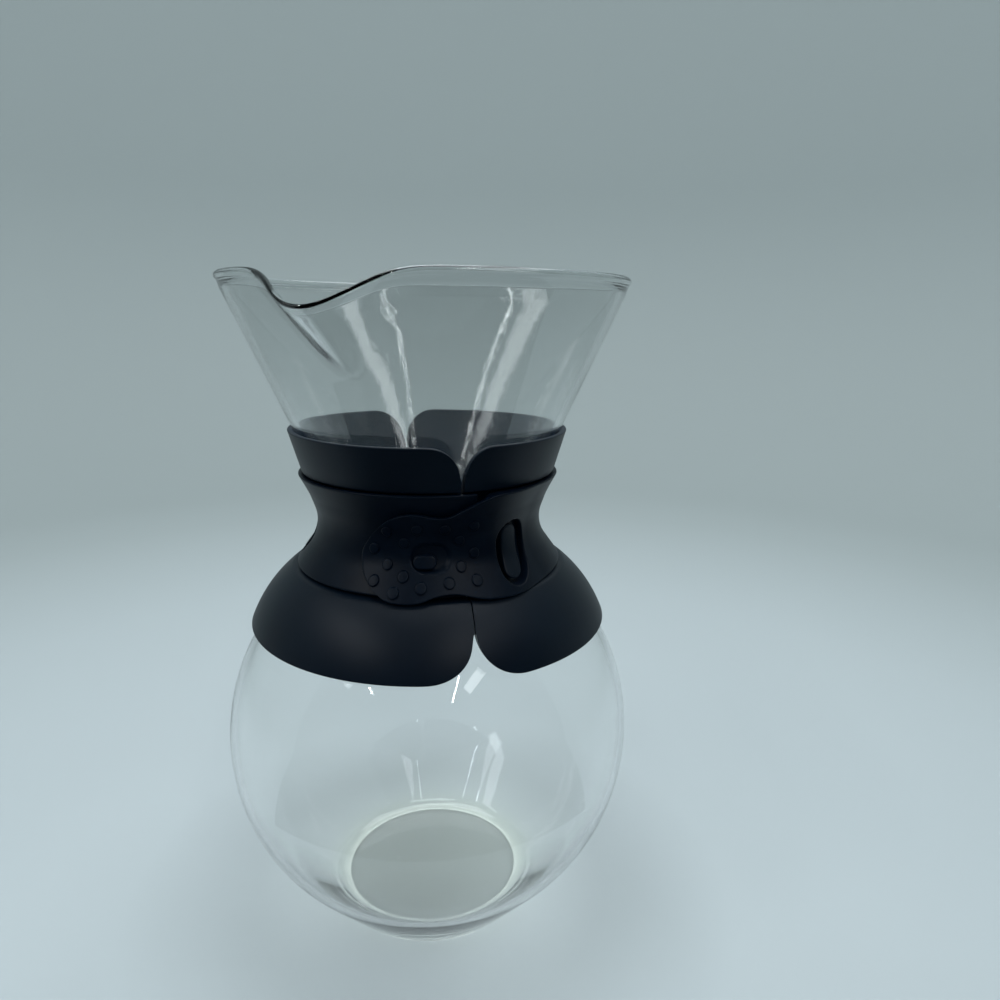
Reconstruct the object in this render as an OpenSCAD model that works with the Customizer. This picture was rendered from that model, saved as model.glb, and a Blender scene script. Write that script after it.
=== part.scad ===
// Coffee server: a one-piece glass carafe with a funnel top, and a two-part collar
// held round its neck by one soft strap that closes on a stud.
// The axis of the glass is the Z axis and the glass stands on z = 0.
// Turns are measured about that axis from -Y towards +X.

/* [Glass] */
// Outer radius of the bowl
bowl_radius = 65.9; // [58:0.1:76]
// How much of the ball of the bowl is missing under the foot
foot_sink = 3.1; // [2.4:0.1:3.8]
// Radius of the flat disc that the glass stands on
foot_radius = 30.5; // [26:0.5:34]
// Rounding between the foot and the bowl
foot_round = 6.5; // [4:0.5:8]
// Outer radius of the neck
neck_radius = 30.3; // [27:0.1:34]
// Rounding of the throat between bowl and funnel
throat_round = 22; // [19:0.5:25]
// Height of the rim above the neck
funnel_height = 74.55; // [64:0.05:86]
// Outer radius of the rim
rim_radius = 60.5; // [54:0.5:68]
// Thickness of the glass wall
glass_wall = 2.2; // [1.6:0.1:2.8]
// Thickness of the glass at the foot
foot_wall = 3.6; // [2.6:0.1:5]

/* [Pouring lip] */
// Turn of the lip from the front
lip_turn = -22.6; // [-60:0.5:60]
// How far the lip reaches out past the rim
lip_reach = 13; // [6:0.5:16]
// How far the lip dips below the rim
lip_drop = 9.2; // [5:0.1:12]
// Half width of the lip, measured along the rim
lip_half_width = 11.5; // [8:0.5:15]
// Height of the pouring channel under the lip
lip_channel = 27; // [20:1:34]

/* [Collar] */
// Turn of the front slit between the two shells
slit_turn = 13; // [-60:1:60]
// Width of the slit
slit_gap = 1; // [0.8:0.1:1.6]
// How far the skirt reaches below the strap
skirt_drop = 17.5; // [15:0.1:20.5]
// Free room between the lower edge of the skirt and the bowl
skirt_clear = 1.7; // [1.3:0.1:2.2]
// Radius of the curve of the skirt
skirt_curve = 39.7; // [34:0.1:47]
// Thickness of the skirt
skirt_wall = 2.4; // [2:0.1:2.8]
// How far the shoulder of the skirt stands out past the strap
shoulder_step = 1.4; // [1:0.1:1.8]
// Thickness of the collar at the neck
neck_wall = 2.45; // [2.1:0.05:2.9]
// How far the collar rises above the strap
collar_rise = 13.4; // [11.5:0.1:16]
// Thickness of the upper edge of the collar
collar_wall = 1.7; // [1.4:0.1:2.2]
// Free room between the shells and the glass
glass_fit = 0.35; // [0.3:0.05:0.5]
// Rounding of the upper front corners
top_corner_round = 7.5; // [5:0.5:10]
// Rounding of the upper back corners
back_corner_round = 10; // [7:0.5:12]
// Rounding of the lower corners
bottom_corner_round = 14; // [10:0.5:15]

/* [Strap] */
// Thickness of the strap
strap_wall = 2.2; // [1.8:0.1:2.6]
// Height of the waist of the strap above the neck of the glass
waist_lift = 1.55; // [1.2:0.05:1.9]
// Rounding of the waist
waist_round = 13; // [11:0.5:15]
// How far the strap reaches below its waist
strap_below = 14.6; // [12.5:0.1:16]
// How far the strap reaches above its waist
strap_above = 14.8; // [12.5:0.1:17]
// Flare of the strap below the waist
lower_flare = 36; // [34:1:38]
// How much steeper the strap stands above the waist than the funnel
flare_ease = 4.1; // [3:0.1:5]
// Turn to which the left half runs on under the tab, from the slit
lap_turn = 6; // [4:0.5:7]
// Half width of the soft web that joins the halves behind the neck
web_half_width = 1.9; // [1.5:0.1:2.4]

/* [Tab] */
// Turn of the bend line of the tab, from the slit
tab_root_turn = 14; // [12:0.5:15]
// Turn of the tip of the tab, from the slit
tab_tip_turn = -43.8; // [-48:0.5:-40]
// Thickness of the tab
tab_wall = 1.9; // [1.5:0.1:2.2]
// Free room between the tab and what lies under it
tab_lift = 0.15; // [0.1:0.05:0.3]
// Diameter of a grip dot
dot_diameter = 2.9; // [2:0.1:3.2]
// Height of a grip dot
dot_height = 0.5; // [0.3:0.1:0.8]
// Turn from one grip dot to the next
dot_step_turn = 12.4; // [11:0.1:14]
// Height from one row of grip dots to the next
dot_row_pitch = 3.8; // [3.5:0.1:4]

/* [Stud and bosses] */
// Turn of the stud, from the slit
stud_turn = -15.2; // [-17:0.1:-13]
// Height of the middle of the stud above the lower edge of the strap
stud_lift = 10.3; // [9.5:0.1:11.5]
// Width of the head of the stud
stud_width = 6.5; // [5:0.1:7]
// Height of the head of the stud
stud_rise = 3.7; // [3:0.1:4.4]
// How far the stem is set in from the head
stem_inset = 0.6; // [0.4:0.1:0.8]
// Width of the dimple round the stud
dimple_width = 11; // [10:0.5:12]
// Height of the dimple round the stud
dimple_rise = 8.5; // [7.5:0.5:9]
// Width of a slot in the strap
slot_width = 11.5; // [10:0.5:12.5]
// Height of a slot in the strap
slot_rise = 18.5; // [16:0.5:20]
// Height of the middle of the slots above the lower edge of the strap
slot_lift = 11.1; // [10.8:0.1:12.5]
// Width of a boss of a shell
boss_width = 6; // [5:0.5:8]
// Height of a boss of a shell
boss_rise = 15; // [12:0.5:15.5]
// Turn of the front boss, from the slit
front_boss_turn = 25; // [24.5:0.5:30]
// Turn of the back bosses, from the slit
back_boss_turn = 104; // [90:1:120]

/* [Motion] */
// Distance of the opening axis behind the strap's waist
hinge_back = 6.7; // [5.7:0.1:8]
// Angle through which each shell opens
shell_opening = 30; // [20:1:32]

/* [Hidden] */
$fn = 96;
overrun = 1;
half_turn = 180;
quarter_turn = 90;

// One height step of the curves of the collar and of the strap
curve_step = 1.5;
// One turn step of the round stretches of the glass
arc_turn_step = 5;

// Profile of the glass: the throat touches the bowl, and the funnel runs from the throat to the rim
bowl_centre = bowl_radius - foot_sink;
bowl_middle = [0, bowl_centre];
throat_reach = bowl_radius + throat_round;
throat_offset = neck_radius + throat_round;
neck_height = bowl_centre + sqrt(throat_reach * throat_reach - throat_offset * throat_offset);
throat_middle = [throat_offset, neck_height];
rim_height = neck_height + funnel_height;
rim_point = [rim_radius, rim_height];
throat_to_rim = rim_point - throat_middle;
funnel_angle = half_turn - atan2(throat_to_rim[1], throat_to_rim[0]) - acos(throat_round / norm(throat_to_rim));
funnel_up = [sin(funnel_angle), cos(funnel_angle)];
funnel_out = [cos(funnel_angle), -sin(funnel_angle)];
throat_end = throat_middle - throat_round * funnel_out;
throat_angle = atan2(throat_middle[1] - bowl_centre, throat_middle[0]);

// Outer foot circle, and the inner one, which is set in and raised by the thicker foot
foot_middle = [foot_radius, foot_round];
inner_foot_round = foot_round + glass_wall;
inner_foot_middle = [foot_radius - glass_wall, foot_wall + inner_foot_round];

// The lip is a smooth swelling that starts under the rim
lip_seam = rim_height - lip_channel;
seam_cover = 0.1;
seam_depth = 0.6;
seam_inset = 0.5;
lip_spread = lip_half_width / rim_radius * half_turn / PI;
lip_edge_round = glass_wall / 2;
lip_fade = 1.4;
lip_rows = 8;
lip_edge_rows = 6;
fine_turn = 2;
coarse_turn = 6;
fine_reach_turn = 34;

// The strap lies on the collar at the neck of the glass
waist_height = neck_height + waist_lift;
waist_radius = neck_radius + glass_fit + neck_wall + strap_wall;
upper_flare = funnel_angle - flare_ease;
strap_bottom = waist_height - strap_below;
strap_top = waist_height + strap_above;

// Curve of the skirt: a circle through the lower edge and the shoulder
skirt_height = strap_bottom - skirt_drop;
skirt_radius = glass_radius(skirt_height) + skirt_clear + skirt_wall;
shoulder_radius = strap_outer(strap_bottom) + shoulder_step;
skirt_low = [skirt_radius, skirt_height];
skirt_high = [shoulder_radius, strap_bottom];
skirt_middle = circle_middle(skirt_low, skirt_high, skirt_curve);
// Where the hollow behind the skirt ends, below the strap
pocket_drop = 3.9;
pocket_top = strap_bottom - pocket_drop;
pocket_end = strap_bottom + skirt_wall / 4;
edge_round = skirt_wall / 3;
collar_top = strap_top + collar_rise;
collar_top_radius = glass_radius(collar_top, glass_fit) + collar_wall;
hinge_reach = waist_radius + hinge_back;

// Fits of the soft parts
strap_fit = 0.08;
lap_fit = 0.3;
web_turn = web_half_width / waist_radius * half_turn / PI;
web_fit_turn = 0.15;
slot_gap_turn = 1.5;
relief_gap = 0.4;
relief_angle = shell_opening + 1;
ledge_step = 0.3;
collar_low_radius = strap_outer(strap_top) - ledge_step;

// Tab outline: points at shares of the way from the bend line to the tip, and of the strap's height
tab_top_shares = [
    [0, 0.93], [0.12, 0.93], [0.24, 0.85], [0.34, 0.782], [0.44, 0.782], [0.54, 0.813],
    [0.64, 0.813], [0.78, 0.735], [0.92, 0.565], [1, 0.408]
];
tab_bottom_shares = [
    [0.962, 0.245], [0.855, 0.11], [0.743, 0.02], [0.621, 0.004], [0.535, 0.014],
    [0.419, 0.065], [0.296, 0.071], [0.176, 0.027], [0.078, 0], [0, 0]
];
tab_smooth_steps = 4;
tab_middle_turn = (tab_root_turn + tab_tip_turn) / 2;
tab_plane_radius = waist_radius + strap_wall;
ramp_turn = 10;
ramp_steps = 6;
ramp_lead = 1 / ramp_steps;
ramp_gap_turn = 0.4;
dot_first_turn = 5.6;
dot_first_lift = 19.6;
dot_rows = 5;
dot_columns = 4;
dot_clear = 2.3;

// Stud and bosses
stud_height = strap_bottom + stud_lift;
stud_head = 1.5;
stud_seat = 0.45;
dimple_depth = tab_wall / 2;
stem_gap = 0.25;
dimple_shift_turn = 2.3;
dimple_lift = 1;
boss_proud = 0.6;
boss_reach_turn = 30;
slot_middle = strap_bottom + slot_lift;
slot_shift_turn = 2.2;
front_slot_turn = front_boss_turn + slot_shift_turn;

function circle_middle(p, q, r) =
    let (m = (p + q) / 2, d = q - p, h = sqrt(r * r - d * d / 4), n = [d[1], -d[0]] / norm(d))
    m - h * n;

function arc_points(middle, radius, from, to) =
    let (steps = max(2, ceil(abs(to - from) / arc_turn_step)))
    [for (i = [0 : steps]) let (a = from + (to - from) * i / steps) middle + radius * [cos(a), sin(a)]];

// Direction of the common outer tangent of the bowl circle and a foot circle
function tangent_angle(big, big_radius, small, small_radius) =
    let (d = small - big) atan2(d[1], d[0]) + acos((big_radius - small_radius) / norm(d));

function wall_line(inset, height) =
    let (start = throat_end - inset * funnel_out)
    start[0] + (height - start[1]) * tan(funnel_angle);

// Outer radius of the glass between the bowl and the rim, or of a skin set off from it
function glass_radius(height, off = 0) =
    let (
        low = bowl_middle + (bowl_radius + off) / throat_reach * (throat_middle - bowl_middle),
        high = throat_middle - (throat_round - off) * funnel_out
    )
    height < low[1] ? sqrt(pow(bowl_radius + off, 2) - pow(height - bowl_centre, 2))
    : height < high[1] ? throat_middle[0] - sqrt(pow(throat_round - off, 2) - pow(height - throat_middle[1], 2))
    : wall_line(-off, height);

function skirt_radius_at(height, off) =
    skirt_middle[0] + sqrt(pow(skirt_curve - off, 2) - pow(height - skirt_middle[1], 2));

// Radius of the strap's outer face at a height, or of a skin inside or outside it
function strap_outer(height, depth = 0) =
    let (
        round = waist_round + depth,
        middle = waist_radius + waist_round,
        low = waist_height - round * sin(lower_flare),
        high = waist_height + round * sin(upper_flare)
    )
    height < low ? middle - round * cos(lower_flare) + (low - height) * tan(lower_flare)
    : height > high ? middle - round * cos(upper_flare) + (height - high) * tan(upper_flare)
    : middle - sqrt(round * round - pow(height - waist_height, 2));

function heights(from, to) =
    let (steps = max(1, ceil(abs(to - from) / curve_step)))
    [for (i = [0 : steps]) from + (to - from) * i / steps];

// Smooth curve through points, each stretch cut in the same number of steps
function smooth_point(a, b, c, d, t) =
    (2 * b + (c - a) * t + (2 * a - 5 * b + 4 * c - d) * t * t + (3 * b - a - 3 * c + d) * t * t * t) / 2;

function smooth_curve(points, steps) =
    let (last = len(points) - 1)
    [
        for (i = [0 : last - 1], j = [0 : steps - 1])
            smooth_point(points[max(i - 1, 0)], points[i], points[i + 1], points[min(i + 2, last)], j / steps),
        points[last]
    ];

function glass_outline() =
    let (
        outer_tangent = tangent_angle(bowl_middle, bowl_radius, foot_middle, foot_round),
        inner_tangent = tangent_angle(
            bowl_middle, bowl_radius - glass_wall, inner_foot_middle, inner_foot_round)
    )
    concat(
        [[0, 0]],
        arc_points(foot_middle, foot_round, -quarter_turn, outer_tangent),
        arc_points(bowl_middle, bowl_radius, outer_tangent, throat_angle),
        arc_points(throat_middle, throat_round, half_turn + throat_angle, half_turn - funnel_angle),
        [[wall_line(0, lip_seam), lip_seam]],
        [[wall_line(glass_wall, lip_seam), lip_seam]],
        arc_points(throat_middle, throat_round + glass_wall, half_turn - funnel_angle, half_turn + throat_angle),
        arc_points(bowl_middle, bowl_radius - glass_wall, throat_angle, inner_tangent),
        arc_points(inner_foot_middle, inner_foot_round, inner_tangent, -quarter_turn),
        [[0, foot_wall]]
    );

// Section of the funnel above the seam: up the outside, over the rounded rim, down the inside
function funnel_section() =
    let (
        rim_low = rim_height - lip_edge_round,
        rim_middle = [wall_line(lip_edge_round, rim_low), rim_low],
        top_outside = rim_middle + lip_edge_round * funnel_out,
        top_inside = rim_middle - lip_edge_round * funnel_out,
        foot_outside = [wall_line(0, lip_seam) + seam_cover, lip_seam],
        foot_inside = [wall_line(glass_wall, lip_seam) - seam_cover, lip_seam]
    )
    concat(
        [foot_outside + [-seam_inset, -seam_depth]],
        [for (i = [0 : lip_rows - 1]) foot_outside + (top_outside - foot_outside) * i / lip_rows],
        [
            for (i = [0 : lip_edge_rows])
                let (a = half_turn * i / lip_edge_rows)
                rim_middle + lip_edge_round * (cos(a) * funnel_out + sin(a) * funnel_up)
        ],
        [for (i = [lip_rows - 1 : -1 : 0]) foot_inside + (top_inside - foot_inside) * i / lip_rows],
        [foot_inside + [seam_inset, -seam_depth]]
    );

// How much of the lip shows at a turn, and at a height above the seam
function lip_share(turn) = exp(-pow((turn - lip_turn) / lip_spread, 2));
function channel_share(height) = pow(max(0, height - lip_seam) / lip_channel, lip_fade);

function lip_point(p, turn) =
    let (
        share = lip_share(turn) * channel_share(p[1]),
        r = p[0] + lip_reach * share,
        z = p[1] - lip_drop * share
    )
    [r * sin(turn), -r * cos(turn), z];

lip_turns = [
    for (a = [-fine_reach_turn : fine_turn : fine_reach_turn - fine_turn]) lip_turn + a,
    for (a = [fine_reach_turn : coarse_turn : 2 * half_turn - fine_reach_turn - coarse_turn]) lip_turn + a
];

// Faces of a closed grid of rings, the last joined to the first
function ring_faces(rings, count) =
    [
        for (i = [0 : rings - 1], j = [0 : count - 1])
            let (
                a = i * count + j,
                b = i * count + (j + 1) % count,
                c = ((i + 1) % rings) * count + (j + 1) % count,
                d = ((i + 1) % rings) * count + j
            )
            each [[a, b, c], [a, c, d]]
    ];

module sweep(from, to) {
    rotate([0, 0, from - quarter_turn])
        rotate_extrude(angle = to - from)
            children();
}

module around_slit() {
    rotate([0, 0, slit_turn])
        children();
}

// Extrudes a flat shape outwards along the radius at a turn
module radial(turn, from, to) {
    rotate([0, 0, turn])
        translate([0, -from, 0])
            rotate([quarter_turn, 0, 0])
                linear_extrude(to - from)
                    children();
}

// Rounded bar, with full rounds on its short ends
module pill(width, rise) {
    r = min(width, rise) / 2;
    x = width / 2 - r;
    y = rise / 2 - r;
    for (side = [-1, 1])
        translate([side * x, side * y])
            circle(r);
    square([width - (x > 0 ? 2 * r : 0), rise - (x > 0 ? 0 : 2 * r)], center = true);
}

module strap_section(depth, outer, bottom = strap_bottom, top = strap_top) {
    polygon(concat(
        [for (z = heights(bottom, top)) [strap_outer(z, -outer), z]],
        [for (z = heights(top, bottom)) [strap_outer(z, depth), z]]
    ));
}

module shell_section() {
    low_edge = skirt_radius_at(skirt_height, 0);
    polygon(concat(
        [for (z = heights(skirt_height + edge_round, strap_bottom)) [skirt_radius_at(z, 0), z]],
        [for (z = heights(strap_bottom, strap_top + ledge_step)) [strap_outer(z, strap_wall), z]],
        [
            [collar_low_radius, strap_top + ledge_step],
            [collar_top_radius, collar_top - edge_round],
            [collar_top_radius - edge_round / 2, collar_top],
            [glass_radius(collar_top, glass_fit) + edge_round / 2, collar_top]
        ],
        [for (z = heights(collar_top - edge_round, pocket_end)) [glass_radius(z, glass_fit), z]],
        [for (z = heights(pocket_top, skirt_height)) [skirt_radius_at(z, skirt_wall), z]],
        [[low_edge - edge_round, skirt_height]]
    ));
}

// What is cut away beside a slit to round the two corners that meet there
module corner_cut(round, edge, up) {
    difference() {
        translate([-round, up > 0 ? edge - round : edge - overrun])
            square([2 * round, round + overrun]);
        for (side = [-1, 1])
            translate([side * (round + slit_gap / 2), edge - up * round])
                circle(round);
    }
}

module slit_cuts() {
    reach = skirt_radius + overrun;
    // The slit itself, front and back
    translate([-slit_gap / 2, -reach, skirt_height - overrun])
        cube([slit_gap, 2 * reach, collar_top - skirt_height + 2 * overrun]);
    radial(0, 0, reach)
        corner_cut(top_corner_round, collar_top, 1);
    radial(0, 0, reach)
        corner_cut(bottom_corner_round, skirt_height, -1);
    radial(half_turn, 0, reach)
        corner_cut(back_corner_round, collar_top, 1);
    radial(half_turn, 0, reach)
        corner_cut(bottom_corner_round, skirt_height, -1);
    // Wedge behind the opening axis, so that the skirts do not meet while the collar opens
    translate([0, 0, skirt_height - overrun])
        linear_extrude(strap_top - skirt_height)
            polygon([
                [-relief_gap - slit_gap / 2, hinge_reach - relief_gap],
                [relief_gap + slit_gap / 2, hinge_reach - relief_gap],
                [relief_gap + slit_gap / 2 + (reach - hinge_reach) * tan(relief_angle), reach],
                [-relief_gap - slit_gap / 2 - (reach - hinge_reach) * tan(relief_angle), reach]
            ]);
}

module boss(turn) {
    intersection() {
        sweep(turn - boss_reach_turn, turn + boss_reach_turn)
            strap_section(strap_wall + strap_fit, boss_proud, strap_bottom, strap_top);
        radial(turn, throat_middle[0] - throat_round, skirt_radius)
            translate([0, slot_middle])
                pill(boss_width, boss_rise);
    }
}

// Half of the collar on the side of positive turns; bosses stand in the strap's slots
module half_shell(boss_turns) {
    difference() {
        union() {
            sweep(0, half_turn)
                shell_section();
            for (turn = boss_turns)
                boss(turn);
        }
        slit_cuts();
    }
}

module slot_cut(turn) {
    radial(turn, throat_middle[0] - throat_round, skirt_radius)
        translate([0, slot_middle])
            pill(slot_width, slot_rise);
}

// Slot for the stem of the stud
module stem_cut() {
    radial(stud_turn, 0, skirt_radius)
        translate([0, stud_height])
            pill(stud_width - 2 * stem_inset + stem_gap, stud_rise - 2 * stem_inset + stem_gap);
}

function tab_height(share) = strap_bottom + share * (strap_top - strap_bottom);
function tab_turn(share) = tab_root_turn + share * (tab_tip_turn - tab_root_turn);
function tab_flat(p) = [tab_plane_radius * sin(tab_turn(p[0]) - tab_middle_turn), tab_height(p[1])];

// Points on the tab that are free for a grip dot: staggered rows, left out round the stud
function dot_turn(row, column) = dot_first_turn - dot_step_turn * (column + (row % 2) / 2);
function dot_height_at(row) = strap_bottom + dot_first_lift - dot_row_pitch * row;
function dot_free(row, column) =
    let (
        away = (dot_turn(row, column) - stud_turn - dimple_shift_turn) * PI / half_turn * waist_radius,
        rise = dot_height_at(row) - stud_height - dimple_lift
    )
    norm([away / (dimple_width / 2 + dot_clear), rise / (dimple_rise / 2 + dot_clear)]) > 1;

module glass_carafe() {
    section = funnel_section();
    color([0.82, 0.88, 0.88, 0.35])
        union() {
            rotate_extrude()
                polygon(glass_outline());
            polyhedron(
                points = [for (turn = lip_turns, p = section) lip_point(p, turn)],
                faces = ring_faces(len(lip_turns), len(section))
            );
        }
}

module collar_shell_right() {
    color([0.09, 0.1, 0.11])
        around_slit()
            half_shell([front_boss_turn, back_boss_turn]);
}

module collar_shell_left() {
    color([0.09, 0.1, 0.11])
        around_slit()
            mirror([1, 0, 0])
                half_shell([back_boss_turn]);
}

module strap_left() {
    color([0.06, 0.065, 0.07])
        around_slit()
            difference() {
                sweep(web_turn - half_turn, lap_turn)
                    strap_section(strap_wall - strap_fit, 0, strap_bottom + lap_fit);
                // Past the slit the strap lies over the other half's shell, and is thinner there
                sweep(-slot_gap_turn, lap_turn + slot_gap_turn)
                    strap_section(
                        strap_wall + overrun,
                        lap_fit - strap_wall,
                        strap_bottom - overrun,
                        strap_top + overrun
                    );
                slot_cut(-back_boss_turn);
                stem_cut();
            }
}

module strap_right() {
    color([0.06, 0.065, 0.07])
        around_slit()
            difference() {
                union() {
                    sweep(lap_turn + slot_gap_turn, half_turn - web_turn)
                        strap_section(strap_wall - strap_fit, 0, strap_bottom + lap_fit);
                    strap_ramp();
                }
                slot_cut(front_slot_turn);
                slot_cut(back_boss_turn);
            }
}

// The strap swells in small steps from its own thickness up to the outside of the tab
module strap_ramp() {
    from = tab_root_turn + ramp_gap_turn;
    for (i = [1 : ramp_steps])
        let (share = i / ramp_steps)
            sweep(from, from + ramp_turn * share)
                strap_section(
                    strap_wall / 2,
                    (tab_wall + tab_lift) * (1 + cos(half_turn * (share - ramp_lead))) / 2,
                    strap_bottom + lap_fit,
                    tab_height(tab_top_shares[0][1])
                );
}

module strap_back_web() {
    color([0.06, 0.065, 0.07])
        around_slit()
            sweep(half_turn - web_turn + web_fit_turn, half_turn + web_turn)
                strap_section(strap_wall - strap_fit, 0, strap_bottom + lap_fit);
}

module strap_tab() {
    outline = smooth_curve(concat(tab_top_shares, tab_bottom_shares), tab_smooth_steps);
    color([0.07, 0.075, 0.08])
        around_slit()
            difference() {
                union() {
                    intersection() {
                        sweep(tab_tip_turn - dot_step_turn, tab_root_turn)
                            strap_section(-tab_lift, tab_lift + tab_wall);
                        radial(tab_middle_turn, 0, skirt_radius)
                            polygon([for (p = outline) tab_flat(p)]);
                    }
                    for (row = [0 : dot_rows - 1], column = [0 : dot_columns - 1])
                        if (dot_free(row, column))
                            grip_dot(dot_turn(row, column), dot_height_at(row));
                }
                // Dimple and slot for the stud
                radial(stud_turn, strap_outer(stud_height) + tab_lift + tab_wall - dimple_depth, skirt_radius)
                    translate([dimple_shift_turn * PI / half_turn * waist_radius, stud_height + dimple_lift])
                        pill(dimple_width, dimple_rise);
                stem_cut();
            }
}

module grip_dot(turn, height) {
    base = strap_outer(height) + tab_lift;
    radial(turn, base + tab_wall / 2, base + tab_wall + dot_height)
        translate([0, height])
            circle(d = dot_diameter, $fn = 24);
}

module closing_stud() {
    floor_radius = strap_outer(stud_height, strap_wall) + stud_seat;
    head_radius = strap_outer(stud_height) + tab_lift + tab_wall - dimple_depth + stem_gap;
    color([0.07, 0.075, 0.08])
        around_slit() {
            radial(stud_turn, floor_radius, head_radius + stud_head / 2)
                translate([0, stud_height])
                    pill(stud_width - 2 * stem_inset, stud_rise - 2 * stem_inset);
            radial(stud_turn, head_radius, head_radius + stud_head)
                translate([0, stud_height])
                    pill(stud_width, stud_rise);
        }
}

glass_carafe();
collar_shell_left();
collar_shell_right();
strap_left();
strap_right();
strap_back_web();
strap_tab();
closing_stud();
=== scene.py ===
import math

import bpy
from mathutils import Matrix, Vector


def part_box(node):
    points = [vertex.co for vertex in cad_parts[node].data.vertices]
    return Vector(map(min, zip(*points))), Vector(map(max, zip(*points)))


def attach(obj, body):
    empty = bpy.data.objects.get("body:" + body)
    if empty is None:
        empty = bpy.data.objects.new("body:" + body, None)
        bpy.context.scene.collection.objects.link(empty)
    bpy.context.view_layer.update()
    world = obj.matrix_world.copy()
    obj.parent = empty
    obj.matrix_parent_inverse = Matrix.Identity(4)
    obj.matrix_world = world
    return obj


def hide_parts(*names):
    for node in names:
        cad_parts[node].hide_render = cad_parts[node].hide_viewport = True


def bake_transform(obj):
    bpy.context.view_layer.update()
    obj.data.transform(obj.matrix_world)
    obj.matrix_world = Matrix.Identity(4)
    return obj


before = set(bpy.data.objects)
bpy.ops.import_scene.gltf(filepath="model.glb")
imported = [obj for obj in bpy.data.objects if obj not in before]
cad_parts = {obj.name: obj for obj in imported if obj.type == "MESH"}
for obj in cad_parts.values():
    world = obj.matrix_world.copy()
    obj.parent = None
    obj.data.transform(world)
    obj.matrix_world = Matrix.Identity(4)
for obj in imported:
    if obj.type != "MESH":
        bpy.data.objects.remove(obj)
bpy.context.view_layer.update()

# The camera stands where the photograph was taken from: close in front of the carafe, a little
# lower than its rim, turned slightly to the right and tilted down.
camera_place = Vector((0, -0.2362, 0.1971))
camera_turn = math.radians(5.51)
camera_tilt = math.radians(13.84)
camera_roll = math.radians(-0.74)
camera_lens = 27.04

ahead = Vector((
    math.sin(camera_turn) * math.cos(camera_tilt),
    math.cos(camera_turn) * math.cos(camera_tilt),
    -math.sin(camera_tilt),
))
level = Vector((math.cos(camera_turn), -math.sin(camera_turn), 0))
below = ahead.cross(level)
right = level * math.cos(camera_roll) + below * math.sin(camera_roll)
down = below * math.cos(camera_roll) - level * math.sin(camera_roll)
camera_data = bpy.data.cameras.new("camera")
camera_data.lens = camera_lens
camera_data.clip_start = 0.01
camera = bpy.data.objects.new("camera", camera_data)
camera_axes = Matrix((right, -down, -ahead)).transposed().to_4x4()
camera.matrix_world = Matrix.Translation(camera_place) @ camera_axes
bpy.context.scene.collection.objects.link(camera)
bpy.context.scene.camera = camera


class Wire:
    """A socket of a material's node tree. Sums and products of wires add their own Math nodes."""

    def __init__(self, tree, socket=None):
        self.tree = tree
        self.socket = socket

    def node(self, kind, settings, sockets, output=0):
        """Adds a node, sets it up, fills its sockets with values or wires, gives its output."""
        made = self.tree.nodes.new(kind)
        for name, value in settings.items():
            if name == "stops":
                ramp = made.color_ramp
                while len(ramp.elements) < len(value):
                    ramp.elements.new(1)
                for stop, (place, colour) in zip(ramp.elements, value):
                    stop.position = place
                    stop.color = (*colour, 1)
            else:
                setattr(made, name, value)
        for name, value in sockets.items():
            if isinstance(value, Wire):
                self.tree.links.new(value.socket, made.inputs[name])
            else:
                made.inputs[name].default_value = value
        return Wire(self.tree, made.outputs[output] if made.outputs else None)

    def math(self, operation, *parts):
        return self.node("ShaderNodeMath", {"operation": operation}, dict(enumerate(parts)))

    def __add__(self, other):
        return self.math("ADD", self, other)

    def __mul__(self, other):
        return self.math("MULTIPLY", self, other)

    __radd__ = __add__
    __rmul__ = __mul__


def new_material(name):
    """An empty material, and a wire of its tree to build on."""
    material = bpy.data.materials.new(name)
    material.use_nodes = True
    material.node_tree.nodes.clear()
    return material, Wire(material.node_tree)


def show(wire, surface):
    """Puts a shader on the surface."""
    wire.node("ShaderNodeOutputMaterial", {}, {"Surface": surface})


# The stage is a wide pale floor whose rim rolls up into a wall all round, so that every view
# ends on the same soft grey. Painted light makes it paler under the foot, a painted shadow makes
# it a little darker close round it, and painted shade makes it darker again from the open floor
# to the wall. Its shares are of the floor's radius.
floor_radius = 0.62
wall_radius = 1.0
wall_height = 1.5
floor_colour = (0.50, 0.56, 0.585)
wall_shade_colour = (0.38, 0.43, 0.435)
painted_light_colour = (0.58, 0.635, 0.66)
shade_colour = (0.41, 0.46, 0.48)
painted_light_share = 0.0455
shade_from_share = 0.054
shade_to_share = 0.10
open_share = 0.17
fade_radius = 0.20

bpy.ops.object.select_all(action="DESELECT")
bpy.ops.mesh.primitive_circle_add(vertices=96, radius=floor_radius, fill_type="NGON")
stage = bpy.context.object
stage.name = "stage_floor"
bpy.ops.object.mode_set(mode="EDIT")
roll = wall_radius - floor_radius
roll_steps = 16
for step in range(1, roll_steps + 1):
    rolled = math.pi / 2 * step / roll_steps
    before = math.pi / 2 * (step - 1) / roll_steps
    wider = (floor_radius + roll * math.sin(rolled)) / (floor_radius + roll * math.sin(before))
    higher = roll * (math.cos(before) - math.cos(rolled))
    bpy.ops.mesh.extrude_region_move(TRANSFORM_OT_translate={"value": (0, 0, higher)})
    bpy.ops.transform.resize(value=(wider, wider, 1))
bpy.ops.mesh.extrude_region_move(TRANSFORM_OT_translate={"value": (0, 0, wall_height - roll)})
bpy.ops.mesh.select_all(action="SELECT")
bpy.ops.mesh.normals_make_consistent(inside=True)
bpy.ops.object.mode_set(mode="OBJECT")
bpy.ops.object.shade_smooth()

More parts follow.
